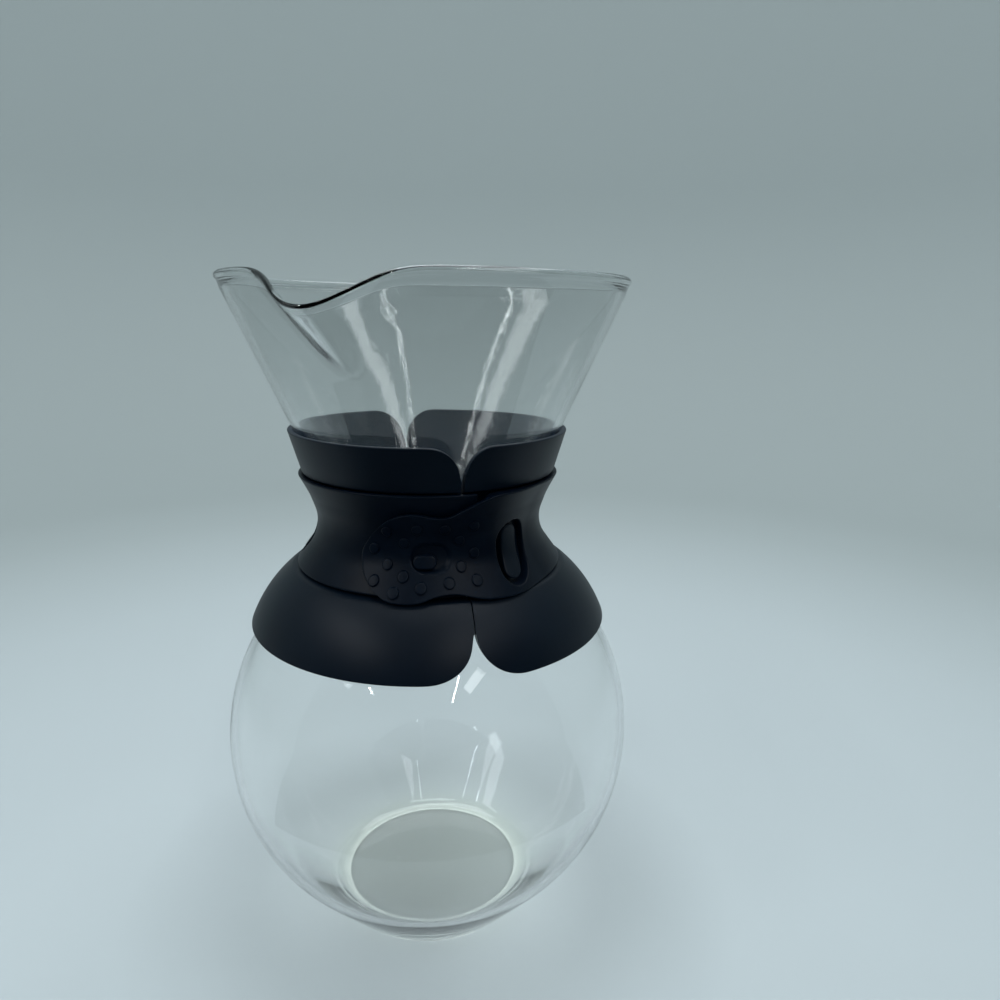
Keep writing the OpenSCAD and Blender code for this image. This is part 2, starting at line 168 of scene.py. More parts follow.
stage_paint, wire = new_material("stage_paint")
place = wire.node("ShaderNodeTexCoord", {}, {}, "Object")
distance = wire.node("ShaderNodeVectorMath", {"operation": "LENGTH"}, {0: place}, "Value")
# Painted light under the foot, a painted shadow round it, then painted shade out to the wall
stops = [
    (0, painted_light_colour), (painted_light_share, painted_light_colour),
    (shade_from_share, shade_colour), (shade_to_share, shade_colour), (open_share, floor_colour)]
for share in (0, 0.25, 0.5, 0.75, 1):
    mixed = Vector(floor_colour).lerp(Vector(wall_shade_colour), share * share * (3 - 2 * share))
    reached = fade_radius + share * (floor_radius - fade_radius)
    stops.append((reached / floor_radius, tuple(mixed)))
paint = wire.node("ShaderNodeValToRGB", {"stops": stops}, {"Fac": distance * (1 / floor_radius)})
show(wire, wire.node("ShaderNodeBsdfPrincipled", {}, {"Base Color": paint, "Roughness": 0.7}))
stage.data.materials.append(stage_paint)

# Soft studio light: a broad panel above, and two thin tubes and two wider strips that run from
# front to back on each side. Their reflections come down the funnel as bright streaks that draw
# together at the neck.
lit_spot = Vector((0, 0, 0.16))
cool_white = (0.94, 0.98, 1.0)


def soft_light(name, start, end, width, power):
    """A soft light that runs from one point to another and faces the carafe."""
    start, end = Vector(start), Vector(end)
    lamp = bpy.data.lights.new(name, "AREA")
    lamp.shape = "RECTANGLE"
    lamp.size = width
    lamp.size_y = (end - start).length
    lamp.energy = power
    lamp.color = cool_white
    middle = (start + end) / 2
    back = (middle - lit_spot).normalized()
    along = end - start
    along = (along - along.dot(back) * back).normalized()
    axes = Matrix((along.cross(back), along, back)).transposed().to_4x4()
    holder = bpy.data.objects.new(name, lamp)
    holder.matrix_world = Matrix.Translation(middle) @ axes
    bpy.context.scene.collection.objects.link(holder)


soft_light("top_panel", (0.10, -0.28, 1.3), (0.10, 0.78, 1.3), 1.1, 13.0)
soft_light("left_tube", (-0.53, -0.10, 0.73), (-0.60, -0.66, 0.73), 0.014, 1.3)
soft_light("right_tube", (0.22, -0.30, 0.73), (0.23, -0.80, 0.73), 0.011, 0.9)
soft_light("left_window", (-0.62, 0.20, 0.73), (-0.79, -0.50, 0.73), 0.11, 0.80)
soft_light("right_window", (0.52, -0.10, 0.73), (0.37, -0.72, 0.73), 0.08, 0.55)

# A dark screen lies in front on the floor and rises behind the camera and the lights. Only
# reflections see it: it keeps the black parts black, as the unlit side of a studio does. Its
# rows are given from the carafe outwards, as radius and height.
screen_rows = [(0.11, 0.004), (0.60, 0.006), (0.90, 0.32), (0.93, 1.20)]
screen_spread = math.radians(72)
screen_black_colour = (0.012, 0.014, 0.016, 1)
bpy.ops.object.select_all(action="DESELECT")
bpy.ops.mesh.primitive_grid_add(x_subdivisions=24, y_subdivisions=len(screen_rows) - 1, size=2)
dark_screen = bpy.context.object
dark_screen.name = "stage_dark_screen"
for vertex in dark_screen.data.vertices:
    radius, height = screen_rows[round((vertex.co.y + 1) / 2 * (len(screen_rows) - 1))]
    turn = vertex.co.x * screen_spread
    vertex.co = (radius * math.sin(turn), -radius * math.cos(turn), height)
screen_black, wire = new_material("screen_black")
show(wire, wire.node("ShaderNodeBsdfPrincipled", {}, {
    "Base Color": screen_black_colour, "Roughness": 1.0}))
dark_screen.data.materials.append(screen_black)
dark_screen.visible_camera = False
dark_screen.visible_diffuse = False
dark_screen.visible_transmission = False
dark_screen.visible_shadow = False

room_colour = (0.60, 0.68, 0.72, 1)
room_strength = 0.34
world = bpy.data.worlds.new("room_light")
world.use_nodes = True
background = world.node_tree.nodes["Background"]
background.inputs["Color"].default_value = room_colour
background.inputs["Strength"].default_value = room_strength
bpy.context.scene.world = world
bpy.context.scene.view_settings.view_transform = "Standard"

# The carafe is one piece of blown borosilicate glass: a round bowl on a flat foot, a narrow
# throat and a straight funnel with a fire-polished rim, pressed out on one side as a lip.
mm = 0.001
glass_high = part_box("glass_carafe")[1]
rim_height = glass_high.z
bowl_radius = glass_high.x
bowl_centre = Vector((0, 62.8 * mm))
rim_point = Vector((60.5 * mm, rim_height))
foot_radius = 30.5 * mm
foot_round = 6.5 * mm
glass_wall = 2.2 * mm
foot_wall = 3.6 * mm
throat_round = 22 * mm
throat_centre = Vector((52.305 * mm, 133.45 * mm))
rim_bead = 1.3 * mm
bead_overlap = 0.7
same_place = 0.01 * mm
foot_steps, bowl_steps, throat_steps, funnel_rows, bead_steps, spin_steps = 8, 44, 24, 34, 12, 288


def arc(centre, radius, start, end, steps):
    """Points on an arc, from one angle to another."""
    angles = [start + (end - start) * step / steps for step in range(steps + 1)]
    return [centre + radius * Vector((math.cos(a), math.sin(a))) for a in angles]


def tangent_turn(big, big_radius, small, small_radius):
    """Angle at which the common outer tangent touches two circles."""
    apart = small - big
    return math.atan2(apart.y, apart.x) + math.acos((big_radius - small_radius) / apart.length)


def turned():
    """Ends a lathe profile: spins it round the Z axis and closes its seam and poles."""
    bpy.ops.mesh.select_all(action="SELECT")
    bpy.ops.mesh.spin(steps=spin_steps, angle=2 * math.pi, center=(0, 0, 0), axis=(0, 0, 1))
    bpy.ops.mesh.select_all(action="SELECT")
    bpy.ops.mesh.remove_doubles(threshold=same_place)
    bpy.ops.mesh.normals_make_consistent(inside=False)
    bpy.ops.object.mode_set(mode="OBJECT")
    bpy.ops.object.shade_smooth()


def drawn(name, points):
    """A new object with one line of edges through points of the XZ plane, left in edit mode."""
    bpy.ops.object.select_all(action="DESELECT")
    bpy.ops.mesh.primitive_plane_add(size=mm)
    obj = bpy.context.object
    obj.name = name
    bpy.ops.object.mode_set(mode="EDIT")
    bpy.ops.mesh.merge(type="CENTER")
    bpy.ops.transform.translate(value=(points[0].x, 0, points[0].y))
    for a, b in zip(points, points[1:]):
        step = (b.x - a.x, 0, b.y - a.y)
        bpy.ops.mesh.extrude_region_move(TRANSFORM_OT_translate={"value": step})
    return obj


to_rim = rim_point - throat_centre
funnel_turn = math.atan2(to_rim.y, to_rim.x) + math.acos(throat_round / to_rim.length)
throat_turn = math.atan2(throat_centre.y - bowl_centre.y, throat_centre.x)
foot_centre = Vector((foot_radius, foot_round))
inner_round = foot_round + glass_wall
inner_foot = Vector((foot_radius - glass_wall, foot_wall + inner_round))
outer_tangent = tangent_turn(bowl_centre, bowl_radius, foot_centre, foot_round)
inner_tangent = tangent_turn(bowl_centre, bowl_radius - glass_wall, inner_foot, inner_round)
funnel_out = -Vector((math.cos(funnel_turn), math.sin(funnel_turn)))
funnel_up = Vector((-funnel_out.y, funnel_out.x))
bead_centre = rim_point - rim_bead * funnel_out
bead_centre.y = rim_height - rim_bead
outer_start = throat_centre - throat_round * funnel_out
inner_start = outer_start - glass_wall * funnel_out
outer_end = bead_centre + rim_bead * funnel_out - rim_bead * funnel_up
inner_end = outer_end - glass_wall * funnel_out
rows = [row / funnel_rows for row in range(1, funnel_rows)]
profile = [Vector((0, 0)), Vector((foot_radius / 2, 0))]
profile += arc(foot_centre, foot_round, -math.pi / 2, outer_tangent, foot_steps)
profile += arc(bowl_centre, bowl_radius, outer_tangent, throat_turn, bowl_steps)[1:]
profile += arc(throat_centre, throat_round, math.pi + throat_turn, funnel_turn, throat_steps)[1:]
profile += [outer_start.lerp(outer_end, row) for row in rows]
bead_lean = math.atan2(funnel_out.y, funnel_out.x)
bead_start, bead_end = bead_lean - bead_overlap, bead_lean + math.pi + bead_overlap
profile += arc(bead_centre, rim_bead, bead_start, bead_end, bead_steps)
profile += [inner_end.lerp(inner_start, row) for row in rows]
inner_throat = throat_round + glass_wall
profile += arc(throat_centre, inner_throat, funnel_turn, math.pi + throat_turn, throat_steps)
profile += arc(bowl_centre, bowl_radius - glass_wall, throat_turn, inner_tangent, bowl_steps)[1:]
profile += arc(inner_foot, inner_round, inner_tangent, -math.pi / 2, foot_steps)[1:]
profile += [Vector((foot_radius / 2, foot_wall)), Vector((0, foot_wall))]

carafe = drawn("glass_carafe_blown", profile)
turned()

# The lip swells out of the funnel. It is widest at the rim, which it draws down, and fades out
# down the channel that leads to it.
lip_turn = math.radians(-22.6)
lip_reach = 12.3 * mm
lip_drop = 9.2 * mm
lip_spread = math.radians(10.9)
lip_left_spread = math.radians(13.2)
lip_channel = 27 * mm
lip_fade = 1.15
lip_apex_share = 0.3
lip_narrowing = 0.8
for vertex in carafe.data.vertices:
    rise = max(0.0, (vertex.co.z - rim_height + lip_channel) / lip_channel)
    out = Vector((vertex.co.x, vertex.co.y))
    if rise > 0 and out.length > 0:
        width = lip_apex_share + (1 - lip_apex_share) * rise ** lip_narrowing
        aside = math.atan2(out.x, -out.y) - lip_turn
        off = aside / (width * (lip_spread if aside > 0 else lip_left_spread))
        share = math.exp(-off * off) * rise ** lip_fade
        out *= 1 + lip_reach * share / out.length
        vertex.co = (out.x, out.y, vertex.co.z - lip_drop * share)

glass, wire = new_material("clear_glass")
place = wire.node("ShaderNodeTexCoord", {}, {}, "Object")
across, back, height = [
    wire.node("ShaderNodeSeparateXYZ", {}, {"Vector": place}, axis) for axis in "XYZ"]
# The glass is a little yellow-green low on the foot and nearly clear through the bowl; up the
# funnel it turns darker, which is painted shade.
tint_and_shade_height = 208 * mm
tint_and_funnel_shade = wire.node("ShaderNodeValToRGB", {"stops": [
    (0, (0.94, 0.95, 0.87)), (0.035, (0.984, 0.988, 0.975)), (0.10, (0.994, 0.997, 0.994)),
    (0.65, (0.975, 0.982, 0.98)), (0.80, (0.86, 0.875, 0.87)), (1, (0.79, 0.805, 0.80)),
]}, {"Fac": height * (1 / tint_and_shade_height)})

# The drawn glass of the funnel's back wall breaks reflections up: ripples across it and fine
# streaks along it, laid out by turn and height. The waves are the glass's own unevenness.
waves = wire.node("ShaderNodeTexNoise", {}, {"Vector": place, "Scale": 34.0, "Detail": 1.0})
turn_of = wire.math("ARCTAN2", back, across)
ripples_round, ripples_up, ripple_share = 30, 210, 0.25
streaks_round, streaks_up, streak_share = 75, 28, 0.08
ripple_place = wire.node("ShaderNodeCombineXYZ", {}, {
    "X": turn_of * ripples_round, "Y": height * ripples_up})
ripples = wire.node("ShaderNodeTexNoise", {}, {
    "Vector": ripple_place, "Scale": 1.0, "Detail": 1.0})
streak_place = wire.node("ShaderNodeCombineXYZ", {}, {
    "X": turn_of * streaks_round, "Y": height * streaks_up})
streaks = wire.node("ShaderNodeTexNoise", {}, {
    "Vector": streak_place, "Scale": 1.0, "Detail": 2.0})
far_side = wire.node("ShaderNodeMapRange", {"interpolation_type": "SMOOTHSTEP"}, {
    "Value": back, "From Min": 0.0, "From Max": 0.02, "To Min": 0.0, "To Max": 1.0})
funnel_share = wire.node("ShaderNodeMapRange", {"interpolation_type": "SMOOTHSTEP"}, {
    "Value": height, "From Min": 0.12, "From Max": 0.16, "To Min": 0.12, "To Max": 1.0})
drawn_lines = (ripples * ripple_share + streaks * streak_share) * far_side * funnel_share
blown = wire.node("ShaderNodeBump", {}, {
    "Strength": 0.06, "Distance": 0.002, "Height": waves + drawn_lines})
smears = wire.node("ShaderNodeTexNoise", {}, {"Vector": place, "Scale": 60.0, "Detail": 4.0})
clear = wire.node("ShaderNodeBsdfPrincipled", {}, {
    "Base Color": tint_and_funnel_shade, "Transmission Weight": 1.0, "IOR": 1.47,
    "Roughness": smears * 0.012, "Normal": blown})
passing = wire.node("ShaderNodeBsdfTransparent", {}, {"Color": (0.97, 0.975, 0.972, 1)})
lamp_ray = wire.node("ShaderNodeLightPath", {}, {}, "Is Shadow Ray")
show(wire, wire.node("ShaderNodeMixShader", {}, {0: lamp_ray, 1: clear, 2: passing}))
carafe.data.materials.append(glass)
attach(carafe, "carafe")
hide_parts("glass_carafe")

# The collar is two half-shells of matt black moulded plastic that close round the neck: a skirt
# over the bowl, a bed for the strap and a flared upper edge. Both slits have large round corners.
slit_turn = math.radians(13)
slit_gap = 1.0 * mm
shell_low, shell_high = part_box("collar_shell_right")
skirt_height = shell_low.z - 0.4 * mm
collar_top = shell_high.z
skirt_radius = 57.0 * mm
skirt_curve = 39.7 * mm
skirt_wall = 2.4 * mm
shoulder_radius = 43.3 * mm
collar_top_radius = 43.2 * mm
glass_fit = 0.35 * mm
strap_low, strap_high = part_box("strap_left")
strap_bottom = strap_low.z - 0.3 * mm
strap_top = strap_high.z
strap_wall = 2.2 * mm
waist_radius = 35.3 * mm
waist_height = 135 * mm
waist_round = 13 * mm
lower_flare = math.radians(36)
upper_flare = math.radians(19.23)
front_top_round = 7.5 * mm
left_top_round = 9.5 * mm
slit_lean = math.radians(1.9)
skirt_lean_drop = 10 * mm
slit_lean_fade = 3
least_lean = 0.1
bottom_rise = 0.78
front_gap_share = 0.25
widest_gap = 0.9
back_top_round = 10 * mm
bottom_round = 14 * mm
hinge_reach = 42 * mm
relief_spread = math.tan(math.radians(31))
relief_gap = 0.4 * mm
hollow_drop = 3.9 * mm
shell_columns = 72


def strap_outer(height, depth=0.0):
    """Radius of the strap's outer face at a height, or of a skin that lies deeper."""
    bend = waist_round + depth
    middle = waist_radius + waist_round
    low = waist_height - bend * math.sin(lower_flare)
    high = waist_height + bend * math.sin(upper_flare)
    if height < low:
        return middle - bend * math.cos(lower_flare) + (low - height) * math.tan(lower_flare)
    if height > high:
        return middle - bend * math.cos(upper_flare) + (height - high) * math.tan(upper_flare)
    return middle - math.sqrt(bend * bend - (height - waist_height) ** 2)


def glass_outer(height, off=0.0):
    """Radius of the glass above the bowl, or of a skin set off from it."""
    bend = throat_round - off
    high = throat_centre - bend * funnel_out
    if height < high.y:
        return throat_centre.x - math.sqrt(bend ** 2 - (height - throat_centre.y) ** 2)
    return high.x + (height - high.y) * funnel_up.x / funnel_up.y


def circle_through(p, q, radius):
    """Centre of the circle of a radius through two points, on the side nearer the axis."""
    across = (q - p) / 2
    aside = Vector((across.y, -across.x)).normalized()
    return p + across - math.sqrt(radius * radius - across.length_squared) * aside


skirt_centre = circle_through(
    Vector((skirt_radius, skirt_height)), Vector((shoulder_radius, strap_bottom)), skirt_curve)


def skirt_outer(height, off=0.0):
    """Radius of the skirt's outer face at a height, or of a skin that lies deeper."""
    return skirt_centre.x + math.sqrt((skirt_curve - off) ** 2 - (height - skirt_centre.y) ** 2)


def around(turn, radius, height):
    """The point at a turn from the front slit, a radius and a height."""
    turn += slit_turn
    return Vector((radius * math.sin(turn), -radius * math.cos(turn), height))


def sheet_of(name, columns, rows):
    """A flat grid of columns and rows of faces, thickened: each vertex has a twin behind it."""
    bpy.ops.object.select_all(action="DESELECT")
    bpy.ops.mesh.primitive_grid_add(x_subdivisions=columns, y_subdivisions=rows, size=1)
    obj = bpy.context.object
    obj.name = name
    thick = obj.modifiers.new("thickness", "SOLIDIFY")
    thick.thickness = 0.01
    thick.offset = -1
    bpy.ops.object.modifier_apply(modifier="thickness")
    return obj


def rounded_off(obj):
    """Subdivides the mesh twice, which also draws its edges round."""
    smooth = obj.modifiers.new("smooth", "SUBSURF")
    smooth.levels = smooth.render_levels = 2
    bpy.ops.object.modifier_apply(modifier="smooth")


def face_outwards():
    """Turns the faces of the active piece outwards."""
    bpy.ops.object.mode_set(mode="EDIT")
    bpy.ops.mesh.select_all(action="SELECT")
    bpy.ops.mesh.normals_make_consistent(inside=False)
    bpy.ops.object.mode_set(mode="OBJECT")


# Rows of each zone of a shell from its lower edge up, as shares of the zone's height
skirt_rows = [0, 0.03, 0.10, 0.22, 0.36, 0.50, 0.64, 0.78, 0.90, 0.97, 1.0]
bed_rows = [0.01, 0.04, 0.15, 0.3, 0.45, 0.6, 0.75, 0.9, 0.97, 0.995]
upper_rows = [0, 0.04, 0.14, 0.32, 0.52, 0.72, 0.88, 0.97, 1.0]
ledge_height = strap_top + 0.3 * mm
collar_low_radius = strap_outer(strap_top) - 0.3 * mm


def shell_inside(height):
    """Radius of the shell's inner face: hollow behind the skirt, close to the glass above."""
    hollow_top = strap_bottom - hollow_drop
    if height < hollow_top:
        return skirt_outer(height, skirt_wall)
    close = glass_outer(max(height, strap_bottom), glass_fit)
    share = min(1.0, (height - hollow_top) / (strap_bottom - hollow_top))
    return skirt_outer(min(height, hollow_top), skirt_wall) * (1 - share) + close * share


def corner_rise(off, radius):
    """How far a round corner draws the edge back at a distance from the middle of the slit."""
    into = max(0.0, radius + slit_gap / 2 - max(off, slit_gap / 2))
    return radius - math.sqrt(max(0.0, radius * radius - into * into))


def shell_point(along, row, inside, side):
    """A point of a shell: along runs from the front slit to the back one."""
    zone, share = row
    turn = math.pi * (1 - math.cos(math.pi * along)) / 2
    if zone == "skirt":
        off = abs(skirt_radius * math.sin(turn))
        if along > 0.5:
            off = max(off, relief_gap + slit_gap / 2 + (skirt_radius - hinge_reach) * relief_spread)
        low = skirt_height
        if off < skirt_radius / 2:
            low += (bottom_rise if along < 0.5 else 1) * corner_rise(off, bottom_round)
        height = low + share * (strap_bottom - low)
        radius = shell_inside(height) if inside else skirt_outer(height)
    elif zone == "bed":
        height = strap_bottom + share * (ledge_height - strap_bottom)
        radius = glass_outer(height, glass_fit) if inside else strap_outer(height, strap_wall)
    else:
        off = abs(collar_top_radius * math.sin(turn))
        corner = back_top_round if along > 0.5 else front_top_round if side > 0 else left_top_round
        top = collar_top - (corner_rise(off, corner) if off < skirt_radius / 2 else 0)
        height = ledge_height + share * (top - ledge_height)
        lean = (height - ledge_height) / (collar_top - ledge_height)
        radius = collar_low_radius + lean * (collar_top_radius - collar_low_radius)
        if inside:
            radius = glass_outer(height, glass_fit)
    gap = slit_gap / 2
    behind = radius * math.cos(math.pi - turn) if along > 0.5 else 0
    if behind > hinge_reach - relief_gap:
        gap += relief_gap + (behind - hinge_reach) * relief_spread
    closed = front_gap_share if zone == "skirt" else 1
    least = math.asin(closed * slit_gap / 2 / radius)
    most = math.pi - math.asin(min(widest_gap, gap / radius))
    below = max(0.0, min(1.0, (strap_top - height) / (strap_top - strap_bottom)))
    drop = max(0.0, strap_bottom - height) / skirt_lean_drop
    lean = slit_lean * below * max(least_lean, 1 - drop) * max(0.0, 1 - slit_lean_fade * along)
    return around(side * (least + (most - least) * turn / math.pi) + lean, radius, height)


def shell_half(name, side):
    """A half-shell: side is 1 for the right one and -1 for the left one."""
    rows = [("skirt", share) for share in skirt_rows]
    rows += [("bed", share) for share in bed_rows] + [("upper", share) for share in upper_rows]
    obj = sheet_of(name, shell_columns, len(rows) - 1)
    vertices = obj.data.vertices
    half = len(vertices) // 2
    for index, vertex in enumerate(vertices):
        row, column = divmod(index % half, shell_columns + 1)
        vertex.co = shell_point(column / shell_columns, rows[row], index >= half, side)
    rounded_off(obj)
    face_outwards()
    bpy.ops.object.shade_smooth()
    return obj


shell_right = shell_half("collar_shell_right_moulded", 1)
shell_left = shell_half("collar_shell_left_moulded", -1)

shell_plastic, wire = new_material("shell_plastic")
place = wire.node("ShaderNodeTexCoord", {}, {}, "Object")
grain = wire.node("ShaderNodeTexNoise", {}, {"Vector": place, "Scale": 2600.0, "Detail": 2.0})
broad = wire.node("ShaderNodeTexNoise", {}, {"Vector": place, "Scale": 45.0, "Detail": 3.0})
paint = wire.node("ShaderNodeValToRGB", {"stops": [
    (0.3, (0.0006, 0.0038, 0.0095)), (0.7, (0.0012, 0.0056, 0.0128))]}, {"Fac": broad})
rough = broad * 0.08 + grain * 0.06 + 0.34
fine = wire.node("ShaderNodeBump", {}, {"Strength": 0.25, "Distance": 0.00006, "Height": grain})
show(wire, wire.node("ShaderNodeBsdfPrincipled", {}, {
    "Base Color": paint, "Roughness": rough, "Normal": fine, "Specular IOR Level": 0.17}))
for shell, body, node in (
    (shell_right, "right_half", "collar_shell_right"),
    (shell_left, "left_half", "collar_shell_left"),
):
    shell.data.materials.append(shell_plastic)
    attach(shell, body)
    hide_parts(node)

# The strap is one soft band of black silicone that lies in the collar's bed and holds both shells
# on the glass. Slots hook it over bosses of the shells. Here it is made flat, then laid round.
strap_fit = 0.08 * mm
flat_radius = waist_radius + strap_wall
edge_row = 0.024
strap_rows = [
    0, edge_row, 0.10, 0.19, 0.28, 0.37, 0.46, 0.55, 0.64, 0.705, 0.77, 0.85, 0.92, 1 - edge_row, 1]
slot_width = 11.5 * mm
slot_rise = 18.5 * mm
slot_height = strap_bottom + 11.1 * mm
slot_rows = (1, 10)
slot_reach = 12.2
slot_columns = 10
back_slot = 104
hole_edge = 0.45 * mm
strap_edge = strap_low.z + 0.5 * mm
top_flare = 1.0 * mm
flare_start = 143 * mm
flare_curve = 1.3
sharp_edge = math.radians(50)


def turns_between(start, end, steps):
    """Turns of columns from one angle in degrees to another, without the last."""
    return [math.radians(start + (end - start) * step / steps) for step in range(steps)]


def pick(obj, kind, chosen):
    """Selects faces or edges of a mesh by their numbers, and leaves it in edit mode."""
    bpy.ops.object.mode_set(mode="EDIT")
    bpy.ops.mesh.select_mode(type=kind)
    bpy.ops.mesh.select_all(action="DESELECT")
    bpy.ops.object.mode_set(mode="OBJECT")
    for index in chosen:
        part = obj.data.polygons[index] if kind == "FACE" else obj.data.edges[index]
        part.select = True
        for corner in part.vertices:
            obj.data.vertices[corner].select = True
    bpy.ops.object.mode_set(mode="EDIT")


def pill_reach(toward, width, rise):
    """Distance from the middle of a rounded bar to its edge, in a direction."""
    small, long = min(width, rise) / 2, max(width, rise) / 2
    across, along = abs(toward.x), abs(toward.y)
    if rise <= width:
        across, along = along, across
    straight = long - small
    if across > 0 and along * small / across <= straight:
        return small / across
    return straight * along + math.sqrt((straight * along) ** 2 - straight ** 2 + small ** 2)


def bowed(turn, height, bow):
    """Turn of a slot's middle line at a height: a bow draws its ends forward on the flares."""
    return turn - bow * (strap_outer(height) - waist_radius)


def toward_hole(spot, hole, share, grow):
    """Moves a point of the flat strap part of the way to the edge of a hole."""
    turn, height, width, rise, bow = hole
    aside = spot.x / flat_radius - bowed(turn, spot.y, bow)
    local = Vector((strap_outer(spot.y) * math.sin(aside), spot.y - height))
    reach = pill_reach(local.normalized(), width + 2 * grow, rise + 2 * grow)
    local *= (local.length + share * (reach - local.length)) / local.length
    level = height + local.y
    reached = bowed(turn, level, bow) + math.asin(local.x / strap_outer(level))
    return Vector((flat_radius * reached, level, 0))


def flat_strap(name, turns, outline, holes, open_ends):
    """A flat piece of the strap. Each hole is cut from a block of columns and rows of faces, and
    its rim is drawn to the hole's edge. The faces at the open ends are left out."""
    bpy.ops.object.select_all(action="DESELECT")
    columns, rows = len(turns) - 1, len(strap_rows) - 1
    bpy.ops.mesh.primitive_grid_add(x_subdivisions=columns, y_subdivisions=rows, size=1)
    obj = bpy.context.object
    obj.name = name
    vertices = obj.data.vertices
    for index, vertex in enumerate(vertices):
        turn, height = outline(turns[index % (columns + 1)], strap_rows[index // (columns + 1)])
        vertex.co = (turn * flat_radius, height, 0)
    inside, frames = [], []
    for (first, last), (low, high), hole in holes:
        corners = [vertices[row * (columns + 1) + column].co.copy()
                   for row in range(low, high + 1) for column in range(first, last + 1)]
        frames.append((corners, hole))
        inside += [row * columns + column
                   for row in range(low, high) for column in range(first, last)]
    if inside:
        pick(obj, "FACE", inside)
        bpy.ops.mesh.delete(type="FACE")
        bpy.ops.object.mode_set(mode="OBJECT")
    for corners, hole in frames:
        sides = {}
        for face in obj.data.polygons:
            for key in face.edge_keys:
                sides[key] = sides.get(key, 0) + 1
        rim = []
        for edge in obj.data.edges:
            ends = [obj.data.vertices[corner].co for corner in edge.vertices]
            near = all(min((end - corner).length for corner in corners) < same_place
                       for end in ends)
            if near and sides[edge.key] == 1:
                rim.append(edge.index)
        pick(obj, "EDGE", rim)
        for share, grow in ((0.5, hole_edge), (1, hole_edge), (1, 0)):
            bpy.ops.mesh.extrude_region_move()
            bpy.ops.object.mode_set(mode="OBJECT")
            for vertex in obj.data.vertices:
                if vertex.select:
                    vertex.co = toward_hole(vertex.co, hole, share, grow)
            bpy.ops.object.mode_set(mode="EDIT")
        bpy.ops.object.mode_set(mode="OBJECT")
    thick = obj.modifiers.new("thickness", "SOLIDIFY")
    thick.thickness = strap_wall
    thick.offset = 1 if turns[0] > turns[-1] else -1
    bpy.ops.object.modifier_apply(modifier="thickness")
    ends = [face.index for face in obj.data.polygons
            if any(abs(face.center.x - turn * flat_radius) < same_place for turn in open_ends)]
    if ends:
        pick(obj, "FACE", ends)
        bpy.ops.mesh.delete(type="FACE")
        bpy.ops.object.mode_set(mode="OBJECT")
    rounded_off(obj)
    return obj


def laid_round(obj, lift, depth):
    """Lays a flat piece round the collar. Lift and depth are those of its outer and inner face."""
    for vertex in obj.data.vertices:
        turn, height, share = vertex.co.x / flat_radius, vertex.co.y, -vertex.co.z / strap_wall
        past = max(0.0, (height - flare_start) / (strap_top - flare_start))
        flare = top_flare * past ** flare_curve
        outer = strap_outer(height, -lift(turn, height) - flare)
        inner = strap_outer(height, depth(turn) - flare)
        vertex.co = around(turn, outer + share * (inner - outer), height)
    bpy.ops.object.mode_set(mode="EDIT")
    bpy.ops.mesh.select_all(action="SELECT")
    bpy.ops.mesh.fill_holes(sides=0)
    bpy.ops.mesh.normals_make_consistent(inside=False)
    bpy.ops.object.mode_set(mode="OBJECT")
    bpy.ops.object.shade_smooth_by_angle(angle=sharp_edge)


def straight_outline(turn, share):
    """Turn and height of a row of the band, which has straight edges."""
    return turn, strap_edge + share * (strap_top - strap_edge)


def no_lift(turn, height):
    """The band lies down all over."""
    return 0.0


def bed_depth(turn):
    """The band reaches down to the bed."""
    return strap_wall - strap_fit


hidden_turn = -22
seam_turn = 120
slot_start, slot_end = slot_reach - back_slot, -slot_reach - back_slot
band_turns = turns_between(hidden_turn, slot_start, 26)
left_slot = len(band_turns)
band_turns += turns_between(slot_start, slot_end, slot_columns)
band_turns += turns_between(slot_end, seam_turn - 360, 44)
band_turns.append(math.radians(seam_turn - 360))
left_slot_shape = (math.radians(-back_slot), slot_height, slot_width, slot_rise, 0)
band = flat_strap(
    "strap_band", band_turns, straight_outline,
    [((left_slot, left_slot + slot_columns), slot_rows, left_slot_shape)],
    [band_turns[0], band_turns[-1]])
laid_round(band, no_lift, bed_depth)

silicone, wire = new_material("black_silicone")
place = wire.node("ShaderNodeTexCoord", {}, {}, "Object")
grain = wire.node("ShaderNodeTexNoise", {}, {"Vector": place, "Scale": 1900.0, "Detail": 3.0})
bloom = wire.node("ShaderNodeTexNoise", {}, {"Vector": place, "Scale": 130.0, "Detail": 5.0})
paint = wire.node("ShaderNodeValToRGB", {"stops": [
    (0.35, (0.0004, 0.0030, 0.0085)), (0.75, (0.0009, 0.0046, 0.0115))]}, {"Fac": bloom})
rough = bloom * 0.12 + grain * 0.05 + 0.32
fine = wire.node("ShaderNodeBump", {}, {"Strength": 0.2, "Distance": 0.00005, "Height": grain})
show(wire, wire.node("ShaderNodeBsdfPrincipled", {}, {
    "Base Color": paint, "Roughness": rough, "Normal": fine, "Specular IOR Level": 0.11}))
band.data.materials.append(silicone)

# The back slit's place behind the neck, where the band crosses it
back_slit = around(math.pi, waist_radius, waist_height)
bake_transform(band)
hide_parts("strap_left", "strap_back_web", "strap_right")

# The lap is the end of the band that lies under the tab and carries the stud, in the same
# silicone. Past the slit it is a little thinner, because there it slides on the other shell.
lap_fit = 0.3 * mm
lap_thin_turn = -math.radians(1.5)


def lap_depth(turn):
    """The lap's inner face stands off a little more where it crosses the slit."""
    return strap_wall - (lap_fit if turn > lap_thin_turn else strap_fit)


end_turns = turns_between(hidden_turn, 5, 12) + [math.radians(turn) for turn in (5, 5.3, 6)]
band_end = flat_strap("strap_lap", end_turns, straight_outline, [], [end_turns[0]])
laid_round(band_end, no_lift, lap_depth)
band_end.data.materials.append(silicone)
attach(band_end, "left_half")
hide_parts("strap_left")

